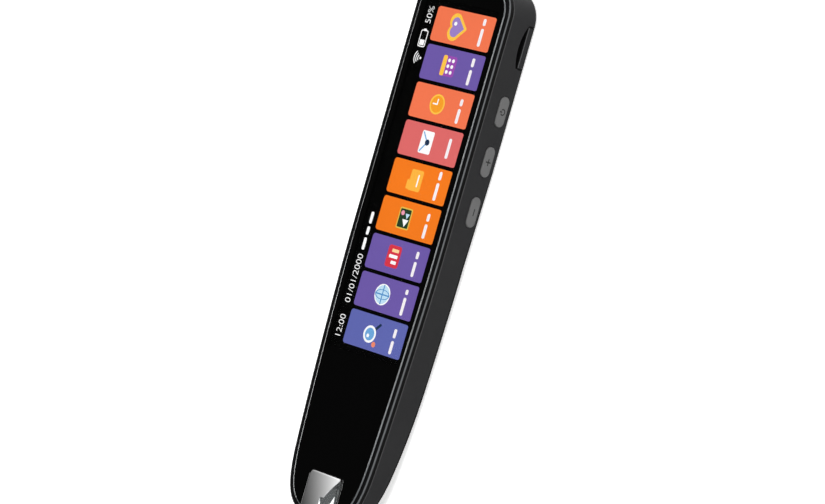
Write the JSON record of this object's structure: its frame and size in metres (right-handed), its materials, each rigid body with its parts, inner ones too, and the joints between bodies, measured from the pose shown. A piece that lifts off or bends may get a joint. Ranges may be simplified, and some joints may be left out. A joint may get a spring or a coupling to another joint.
{
  "type": "scanning pen",
  "caption": "Flat bar-shaped scanning pen with a long colour screen, side buttons, a lanyard slot, a charging socket and a clear nose that is pressed on the paper.",
  "frame": {"origin": "centre of the pen's outline on the plane of its flat back", "axes": "+Z is the way the glass faces, +Y runs from the scanning tip to the top end, +X is the side with the buttons"},
  "size_m": [0.0357, 0.1522, 0.0117],
  "materials": {
    "housing_black": "satin moulded",
    "bezel_black": "polished",
    "cover_glass": "polished",
    "clear_plastic": "clear polished",
    "screen_glass": "polished",
    "grey_plastic": "satin moulded",
    "black_plastic": "moulded",
    "white_plastic": "moulded",
    "sheet_steel": "rolled",
    "screw_steel": "plated",
    "spring_steel": "drawn",
    "cast_frame": "cast",
    "cell_foil": "foil",
    "circuit_board": "solder mask",
    "flex_film": "film",
    "chip_black": "moulded",
    "foam_black": "foam",
    "tape_clear": "adhesive",
    "cone_film": "film",
    "mesh_black": "woven"
  },
  "bodies": {
    "pen_body": {"rear_housing": "housing_black", "front_bezel": "bezel_black", "glass_adhesive": "tape_clear", "cover_glass": "cover_glass", "tip_window": "clear_plastic", "window_gasket": "foam_black", "optical_adhesive": "tape_clear", "display_panel": "screen_glass", "backlight_tray": "sheet_steel", "light_guide": "clear_plastic", "display_flex": "flex_film", "mid_frame": "cast_frame", "mid_frame_screws": "screw_steel", "battery": "cell_foil", "battery_tape": "tape_clear", "protection_board": "circuit_board", "battery_flex": "flex_film", "main_board": "circuit_board", "board_screws": "screw_steel", "shield_can": "sheet_steel", "processor": "chip_black", "memory_chip": "chip_black", "board_connectors": "chip_black", "wifi_antenna": "flex_film", "usb_board": "circuit_board", "usb_board_screws": "screw_steel", "usb_shell": "sheet_steel", "usb_tongue": "black_plastic", "microphone": "sheet_steel", "speaker_frame": "black_plastic", "speaker_cone": "cone_film", "speaker_gasket": "foam_black", "speaker_mesh": "mesh_black", "key_bracket": "sheet_steel", "key_flex": "flex_film", "strap_bar": "black_plastic", "camera_board": "circuit_board", "image_sensor": "chip_black", "camera_holder": "black_plastic", "lens_barrel": "black_plastic", "lens": "screen_glass", "camera_flex": "flex_film", "led_board": "circuit_board", "scan_leds": "white_plastic", "light_chamber": "white_plastic", "left_nose_spring": "spring_steel", "right_nose_spring": "spring_steel", "tip_switch": "black_plastic", "power_switch": "black_plastic", "plus_switch": "black_plastic", "minus_switch": "black_plastic"},
    "power_key": {"power_button": "grey_plastic", "power_switch_plunger": "grey_plastic"},
    "plus_key": {"plus_button": "grey_plastic", "plus_switch_plunger": "grey_plastic"},
    "minus_key": {"minus_button": "grey_plastic", "minus_switch_plunger": "grey_plastic"},
    "nose": {"scan_nose": "clear_plastic", "tip_switch_plunger": "grey_plastic"}
  },
  "joints": [
    {"name": "power_press", "type": "slide", "parent": "pen_body", "child": "power_key", "axis": [-1, 0, 0], "range_m": [0, 0.0003], "stiffness_N_per_m": 2000, "springref_m": -0.0003},
    {"name": "plus_press", "type": "slide", "parent": "pen_body", "child": "plus_key", "axis": [-1, 0, 0], "range_m": [0, 0.0003], "stiffness_N_per_m": 2000, "springref_m": -0.0003},
    {"name": "minus_press", "type": "slide", "parent": "pen_body", "child": "minus_key", "axis": [-1, 0, 0], "range_m": [0, 0.0003], "stiffness_N_per_m": 2000, "springref_m": -0.0003},
    {"name": "nose_press", "type": "slide", "parent": "pen_body", "child": "nose", "axis": [0, 1, 0], "range_m": [0, 0.0005], "stiffness_N_per_m": 1500, "springref_m": -0.0005, "deforming": ["left_nose_spring", "right_nose_spring"]}
  ]
}
